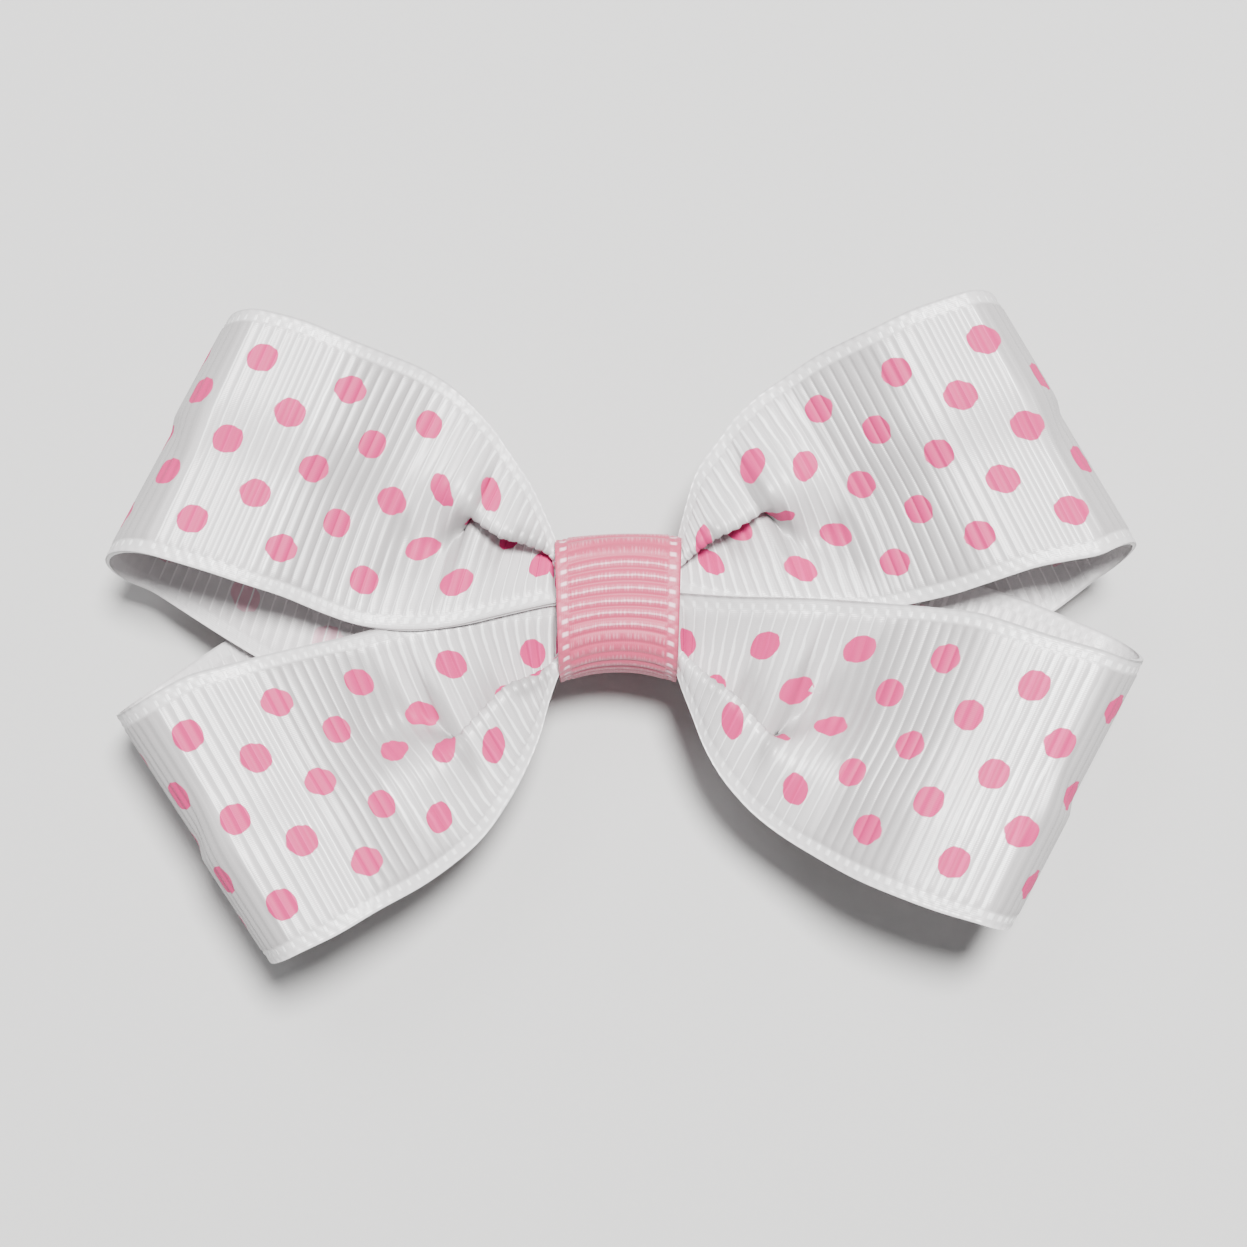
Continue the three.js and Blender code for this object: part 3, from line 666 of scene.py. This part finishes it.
def pink_ribbon_material(name, width, selvage):
    n = Nodes(name)
    weave, along, across, _ = n.weave_place()
    lines, inside, knots, _ = rib_crest_glints(n, weave, along, across, width, selvage)
    # Painted glints on the wrap: the rib crests in short broken strokes, and fainter strokes between the
    # crests.
    strokes = n.ramp(n.noise(n.scaled(weave, (0.8, 6.0, 0.0)), 1.0, 2.0), 0.42, 0.58)
    comb = n.ramp(n.math("PINGPONG", across, 0.14), 0.04, 0.10, 0.35, 1.0)
    strokes = n.math("MULTIPLY", strokes, comb)
    painted_glints = n.math("MULTIPLY", lines, n.math("MULTIPLY_ADD", strokes, 0.6, 0.4))
    spread = n.ramp(n.math("PINGPONG", along, RIB_PITCH / 2), RIB_PITCH * 0.1, RIB_PITCH * 0.45)
    spread_glints = n.math("MULTIPLY", n.math("MULTIPLY", spread, strokes), n.math("MULTIPLY", inside, 0.30))
    painted_glints = n.math("MAXIMUM", painted_glints, spread_glints)
    ground = n.mix(painted_glints, WRAP_VALLEY, PAINTED_WRAP_GLINT)
    ground = n.mix(inside, WRAP_SELVAGE, ground)
    # Painted glint on the selvage knots.
    ground = n.mix(knots, ground, PAINTED_WRAP_KNOT_GLINT)
    n.put(ground, n.shader.inputs["Base Color"])
    n.put(n.bump(thread_height(n, across, lines, knots), 0.04 * MM), n.shader.inputs["Normal"])
    n.shader.inputs["Roughness"].default_value = 0.5
    n.shader.inputs["Sheen Weight"].default_value = 0.25
    n.shader.inputs["Specular IOR Level"].default_value = 0.45
    return n.material


def steel_material(name, colour, roughness):
    """Plated sheet steel: fine drawing lines along X and faint stains."""
    n = Nodes(name)
    place = n.add("ShaderNodeTexCoord").outputs["Object"]
    drawn = n.noise(n.scaled(place, (400.0, 9000.0, 9000.0)), 1.0, 3.0)
    stain = n.noise(place, 260.0, 4.0)
    n.put(n.mix(n.ramp(stain, 0.35, 0.7), colour, tuple(0.72 * c for c in colour[:3]) + (1,)),
          n.shader.inputs["Base Color"])
    n.put(n.math("MULTIPLY_ADD", stain, 0.22, roughness - 0.08), n.shader.inputs["Roughness"])
    n.put(n.bump(drawn, 0.006 * MM), n.shader.inputs["Normal"])
    n.shader.inputs["Metallic"].default_value = 1.0
    return n.material


def glue_material():
    n = Nodes("set_glue")
    place = n.add("ShaderNodeTexCoord").outputs["Object"]
    cloud = n.noise(place, 900.0, 3.0)
    n.put(n.mix(cloud, (0.74, 0.68, 0.52, 1), (0.86, 0.82, 0.70, 1)), n.shader.inputs["Base Color"])
    n.put(n.bump(n.noise(place, 700.0, 2.0), 0.08 * MM), n.shader.inputs["Normal"])
    n.shader.inputs["Roughness"].default_value = 0.22
    n.shader.inputs["Subsurface Weight"].default_value = 0.2
    n.shader.inputs["Subsurface Radius"].default_value = (0.001, 0.001, 0.001)
    return n.material


def thread_material():
    n = Nodes("sewing_thread")
    place = n.add("ShaderNodeTexCoord").outputs["Object"]
    fibre = n.noise(n.scaled(place, (9000.0, 2500.0, 2500.0)), 1.0, 2.0)
    n.put(n.mix(fibre, (0.70, 0.68, 0.68, 1), (0.9, 0.88, 0.88, 1)), n.shader.inputs["Base Color"])
    n.put(n.bump(fibre, 0.02 * MM), n.shader.inputs["Normal"])
    n.shader.inputs["Roughness"].default_value = 0.7
    return n.material


def floor_material():
    n = Nodes("pale_table")
    place = n.add("ShaderNodeTexCoord").outputs["Object"]
    grain = n.noise(place, 1500.0, 3.0)
    n.put(n.mix(grain, (0.555, 0.555, 0.55, 1), (0.575, 0.575, 0.57, 1)), n.shader.inputs["Base Color"])
    n.shader.inputs["Roughness"].default_value = 0.7
    return n.material


printed = printed_ribbon_material()
unprinted = ribbon_back_material()

# ---------------------------------------------------------------- the two dotted ribbons


def make_ribbon(name, left, right):
    ribbon = full_ribbon(left, right)
    rows = across_rows(RIBBON_WIDTH, SELVAGE, 40)
    surface = pleated_surface(ribbon, rows)
    surface = curve_ribs(surface, ribbon["along"], ribbon["folds"], ribbon["waist"])
    normals = surface_normals(surface)
    painted_glint_level = level_run(surface)
    relief = rib_relief(len(surface), rows, RIBBON_WIDTH, SELVAGE)
    grid = np.empty(surface.shape)
    grid[..., 0] = ribbon["along"][:, None]
    grid[..., 1] = rows[None, :]
    grid[..., 2] = ribbon["dot_u"][:, None]
    piece = sheet_mesh(name, surface, normals, RIBBON_THICK, relief, (printed, unprinted),
                       {"weave": grid, "painted_glint_level": painted_glint_level})
    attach(piece, "bow")
    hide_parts(name.replace("woven_", ""))
    return piece


make_ribbon("woven_front_ribbon", "upper_left", "lower_right")
make_ribbon("woven_back_ribbon", "lower_left", "upper_right")

# ---------------------------------------------------------------- the wrap and the lining

WRAP_RIBBON = 9.4
NARROW_SELVAGE = 1.0
WRAP_THICK = 0.32
LINING_THICK = 0.3


def make_wrap():
    """A narrow ribbon round the waist and the clip's upper arm. Its section is drawn in Y and Z, from the
    inner end under the arm, up the lower side, over the front and back to the outer end."""
    section = [(3.4, 5.4), (0.4, 5.38), (-2.2, 5.42), (-3.3, 5.95), (-3.62, 7.2), (-3.66, 8.8),
               (-3.5, 10.4), (-2.9, 11.75), (-1.8, 12.65), (-0.4, 13.08), (1.4, 13.2), (3.4, 13.18),
               (4.9, 12.95), (5.8, 12.3), (6.25, 11.0), (6.3, 9.0), (6.25, 6.4), (5.75, 4.95),
               (4.4, 4.42), (1.6, 4.4), (-1.2, 4.4)]
    path = spline(section, 16)
    length = arc_length(path)
    columns = rib_columns(length[-1])
    count = len(columns) - 1
    across = across_rows(WRAP_RIBBON, NARROW_SELVAGE, 26)
    middle_x = wrap_middle[0]
    middle = np.array([1.3, 9.0])
    surface = np.empty((count + 1, len(across), 3))
    for j, place in enumerate(across):
        side = (place - WRAP_RIBBON / 2) / (WRAP_RIBBON / 2)
        # The ribs bow towards the upper side in the middle, and the edges stand a little wider.
        bow = 0.55 * (1 - (side - 0.15) ** 2)
        at = np.clip(columns + bow * np.sin(columns / length[-1] * math.pi), 0, length[-1])
        yz = np.stack([np.interp(at, length, path[:, k]) for k in range(2)], axis=1)
        off = (yz[:, 0] - middle[0]) / 5
        lower = np.clip(-off, 0, 1) * (0.36 - 0.9 * abs(side) ** 2.2)
        upper = np.clip(off, 0, 1) * (0.35 - 0.45 * ((side - 0.25) / 1.25) ** 2)
        yz[:, 0] += lower + upper
        surface[:, j, 0] = middle_x + side * WRAP_RIBBON / 2 * (1 + 0.035 * off)
        surface[:, j, 1] = yz[:, 0] + OUTLINE_SHIFT[1]
        surface[:, j, 2] = yz[:, 1]
    normals = surface_normals(surface)
    outward = surface - np.array([middle_x, middle[0], middle[1]])
    if (normals * outward)[count // 2].sum() < 0:
        surface = surface[:, ::-1]
        normals = surface_normals(surface)
    relief = rib_relief(count + 1, across, WRAP_RIBBON, NARROW_SELVAGE, 1.1)
    grid = np.zeros(surface.shape)
    grid[..., 0] = columns[:, None]
    grid[..., 1] = across[None, :]
    pink = pink_ribbon_material("pink_grosgrain", WRAP_RIBBON, NARROW_SELVAGE)
    piece = sheet_mesh("woven_centre_wrap", surface, normals, WRAP_THICK, relief, (pink, pink),
                       {"weave": grid, "painted_glint_level": level_run(surface)})
    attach(piece, "bow")
    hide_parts("centre_wrap")


make_wrap()


def make_lining():
    """The strip of narrow ribbon glued on the clip's upper arm, its corners trimmed."""
    low, high = box_mm("clip_lining")
    columns = rib_columns(high[0] - low[0])
    count = len(columns) - 1
    width = high[1] - low[1]
    across = across_rows(width, NARROW_SELVAGE, 24)
    x = low[0] + columns
    from_end = np.minimum(x - low[0], high[0] - x)
    trim = 0.5 + 0.5 * np.sqrt(np.clip(from_end / 2.2, 0, 1))
    surface = np.empty((count + 1, len(across), 3))
    surface[..., 0] = x[:, None]
    surface[..., 1] = (low[1] + high[1]) / 2 - (across - width / 2)[None, :] * trim[:, None]
    surface[..., 2] = (low[2] + high[2]) / 2 + 0.03 * np.sin(x * 0.9)[:, None]
    normals = surface_normals(surface)
    relief = rib_relief(count + 1, across, width, NARROW_SELVAGE, 0.9)
    grid = np.zeros(surface.shape)
    grid[..., 0] = columns[:, None]
    grid[..., 1] = across[None, :]
    pink = pink_ribbon_material("pink_lining", width, NARROW_SELVAGE)
    piece = sheet_mesh("woven_clip_lining", surface, normals, LINING_THICK, relief, (pink, pink),
                       {"weave": grid, "painted_glint_level": level_run(surface)})
    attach(piece, "bow")
    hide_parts("clip_lining")


make_lining()

# ---------------------------------------------------------------- thread, spring and clip


def tube(name, path, radius, sides, material):
    """A closed tube along a list of points in millimetres."""
    path = np.asarray(path, float)
    run = unit(np.gradient(path, axis=0))
    side = unit(np.cross(run, np.array([0.31, 0.87, 0.38])))
    up = np.cross(run, side)
    angle = np.linspace(0, 2 * math.pi, sides, endpoint=False)
    cos_a, sin_a = np.cos(angle)[None, :, None], np.sin(angle)[None, :, None]
    ring = path[:, None] + radius * (side[:, None] * cos_a + up[:, None] * sin_a)
    n = len(path)
    points = np.concatenate([ring.reshape(-1, 3), path[:1], path[-1:]]) * MM
    faces = []
    for i in range(n - 1):
        for k in range(sides):
            nxt = (k + 1) % sides
            faces.append((i * sides + k, (i + 1) * sides + k, (i + 1) * sides + nxt, i * sides + nxt))
    for k in range(sides):
        nxt = (k + 1) % sides
        faces.append((n * sides, k, nxt))
        faces.append((n * sides + 1, (n - 1) * sides + nxt, (n - 1) * sides + k))
    mesh = bpy.data.meshes.new(name)
    mesh.from_pydata(points.tolist(), [], faces)
    mesh.materials.append(material)
    for polygon in mesh.polygons:
        polygon.use_smooth = True
    mesh.update()
    piece = bpy.data.objects.new(name, mesh)
    bpy.context.collection.objects.link(piece)
    return piece


def make_thread():
    """Seven turns of thread round the gathered ribbons, inside the wrap."""
    low, high = box_mm("binding_thread")
    turns = 7
    per_turn = 40
    square = 3.5  # how square each turn is: 2 is an ellipse
    steps = turns * per_turn
    middle = (low + high) / 2
    half = (high - low) / 2 - 0.3
    points = []
    for i in range(steps + 1):
        angle = i / per_turn * 2 * math.pi
        c, s = math.cos(angle), math.sin(angle)
        stretch = (abs(c) ** square + abs(s) ** square) ** (-1 / square)
        x = low[0] + 0.2 + (high[0] - low[0] - 0.4) * i / steps
        points.append((x, middle[1] + half[1] * c * stretch, middle[2] + half[2] * s * stretch))
    piece = tube("wound_thread", points, 0.15, 8, thread_material())
    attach(piece, "bow")
    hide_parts("binding_thread")


make_thread()


def make_spring():
    """The torsion spring: a coil round the pin with a leg along each arm, the legs spreading a little apart
    away from the coil."""
    low, high = box_mm("torsion_spring")
    hinge = frame["joints"][0]
    pivot = np.array(hinge["pos_m"]) / MM
    wire = 0.24
    radius = pivot[0] - low[0] - 0.25
    turns = 4
    per_turn = 28
    steps = int((turns + 0.5) * per_turn)
    start_y, end_y = low[1] + wire, high[1] - wire
    points = [(high[0] - 0.3 - 0.8 * k, start_y, high[2] - wire - 0.045 * k) for k in range(9)]
    for i in range(steps + 1):
        angle = -i / per_turn * 2 * math.pi
        points.append((pivot[0] + radius * math.sin(angle), start_y + (end_y - start_y) * i / steps,
                       pivot[2] + radius * math.cos(angle)))
    points += [(high[0] - 0.3 - 0.8 * k, end_y, low[2] + wire + 0.055 * k) for k in reversed(range(9))]
    path = resample(np.array(points), np.linspace(0, 1, 260))
    piece = tube("wound_spring", path, wire, 10, steel_material("spring_wire", (0.50, 0.51, 0.53, 1), 0.3))
    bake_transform(piece)
    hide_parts("torsion_spring")


make_spring()


def dress(node, material):
    """Gives a CAD node its finish."""
    piece = frame["nodes"][node]
    for slot in piece.material_slots:
        slot.material = material
    for polygon in piece.data.polygons:
        polygon.use_smooth = False


clip_steel = steel_material("plated_steel", (0.62, 0.63, 0.64, 1), 0.28)
dress("clip_upper_arm", clip_steel)
dress("clip_lower_arm", clip_steel)
dress("hinge_pin", steel_material("pin_steel", (0.56, 0.56, 0.58, 1), 0.34))
set_glue = glue_material()
dress("glue_bow_to_clip", set_glue)
dress("glue_wrap_seam", set_glue)

# ---------------------------------------------------------------- floor, light and camera


def make_floor():
    mesh = bpy.data.meshes.new("table_top")
    half = 1.5
    corners = [(-half, -half, 0), (half, -half, 0), (half, half, 0), (-half, half, 0)]
    mesh.from_pydata(corners, [], [(0, 1, 2, 3)])
    mesh.materials.append(floor_material())
    floor = bpy.data.objects.new("table_top", mesh)
    bpy.context.collection.objects.link(floor)


def area_light(name, place, size, power, colour=(1, 1, 1)):
    light = bpy.data.lights.new(name, "AREA")
    light.shape = "DISK"
    light.size = size
    light.energy = power
    light.color = colour
    lamp = bpy.data.objects.new(name, light)
    lamp.location = place
    lamp.rotation_euler = (Vector((0, 0, 0.01)) - Vector(place)).to_track_quat("-Z", "Y").to_euler()
    bpy.context.collection.objects.link(lamp)


def make_camera():
    """Above the bow, leaning a little towards its lower side."""
    elevation = math.radians(84.0)
    distance = 0.2275
    aim = Vector((OUTLINE_SHIFT[0] * MM, OUTLINE_SHIFT[1] * MM, EYE_LEVEL * MM))
    camera = bpy.data.cameras.new("camera")
    camera.lens = 85.0
    camera.sensor_width = 36.0
    camera.clip_start = 0.01
    rig = bpy.data.objects.new("camera", camera)
    rig.location = aim + distance * Vector((0.0, -math.cos(elevation), math.sin(elevation)))
    rig.rotation_euler = (aim - rig.location).to_track_quat("-Z", "Y").to_euler()
    bpy.context.collection.objects.link(rig)
    bpy.context.scene.camera = rig


make_floor()
area_light("ceiling_light", (0.13, 0.215, 1.06), 0.26, 34.5, (1.0, 0.99, 0.98))
area_light("window_fill", (-0.3, 0.5, 0.9), 0.5, 3.0, (0.98, 0.99, 1.0))
world = bpy.data.worlds.new("room")
world.use_nodes = True
world.node_tree.nodes["Background"].inputs["Color"].default_value = (0.93, 0.94, 0.96, 1)
world.node_tree.nodes["Background"].inputs["Strength"].default_value = 0.26
bpy.context.scene.world = world
make_camera()
